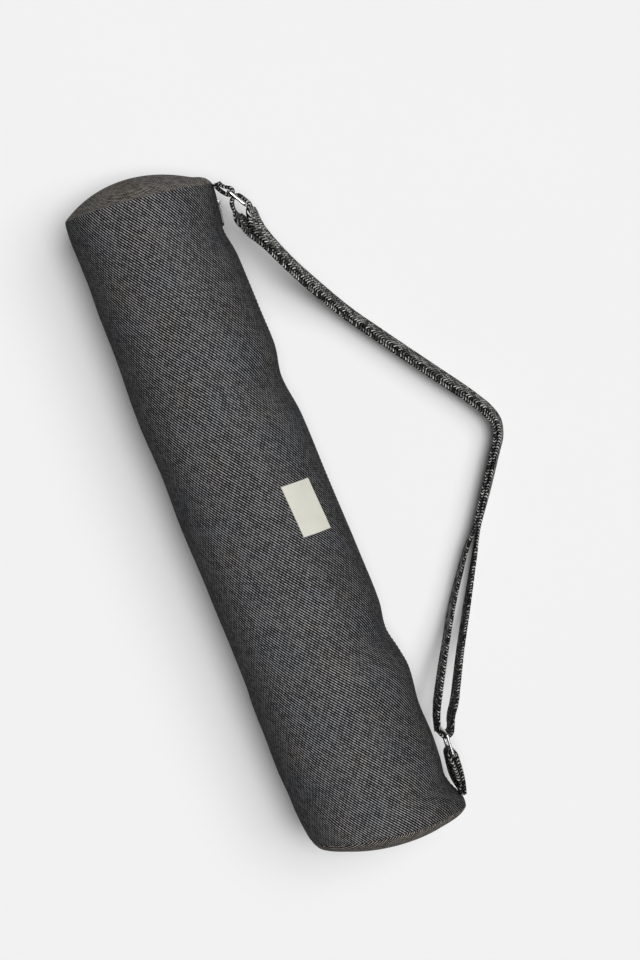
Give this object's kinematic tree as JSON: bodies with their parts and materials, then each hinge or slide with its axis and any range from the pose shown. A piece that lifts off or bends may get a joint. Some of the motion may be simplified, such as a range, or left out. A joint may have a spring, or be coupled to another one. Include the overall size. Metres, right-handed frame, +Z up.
{
  "type": "yoga mat bag",
  "caption": "Long round cloth bag with domed ends, a zip along its side and an adjustable webbing shoulder strap, for a rolled exercise mat.",
  "frame": {"origin": "middle of the flat patch under the bag, on the surface it lies on", "axes": "+Z up; +Y along the bag toward the end with the strap's slider; +X toward the strap"},
  "size_m": [0.3346, 0.7082, 0.1407],
  "materials": {
    "cloth": "dark grey and white twill weave, matt",
    "end_cloth": "the same twill, slightly warmer",
    "label": "woven cream label, blank",
    "zip_tape": "black woven tape",
    "zip_coil": "black nylon coil",
    "metal": "bright nickel plate",
    "webbing": "black and grey herringbone webbing"
  },
  "bodies": {
    "bag": {"body_panel": "cloth", "end_panel_top": "end_cloth", "end_panel_bottom": "end_cloth", "label": "label", "zip_tape_upper": "zip_tape", "zip_tape_lower": "zip_tape", "zip_coil": "zip_coil", "zip_slider": "metal", "tab_upper": "webbing", "tab_lower": "webbing", "strap_slider": "metal", "strap_ring": "metal", "shoulder_strap": "webbing"},
    "pull": {"zip_pull": "metal"}
  },
  "joints": [
    {"name": "zip_pull_hinge", "type": "hinge", "parent": "bag", "child": "pull", "pos_m": [0.0719, 0.29886, 0.0467], "axis": [0.235, -0.0391, 0.9712], "range_deg": [0, 170]}
  ]
}
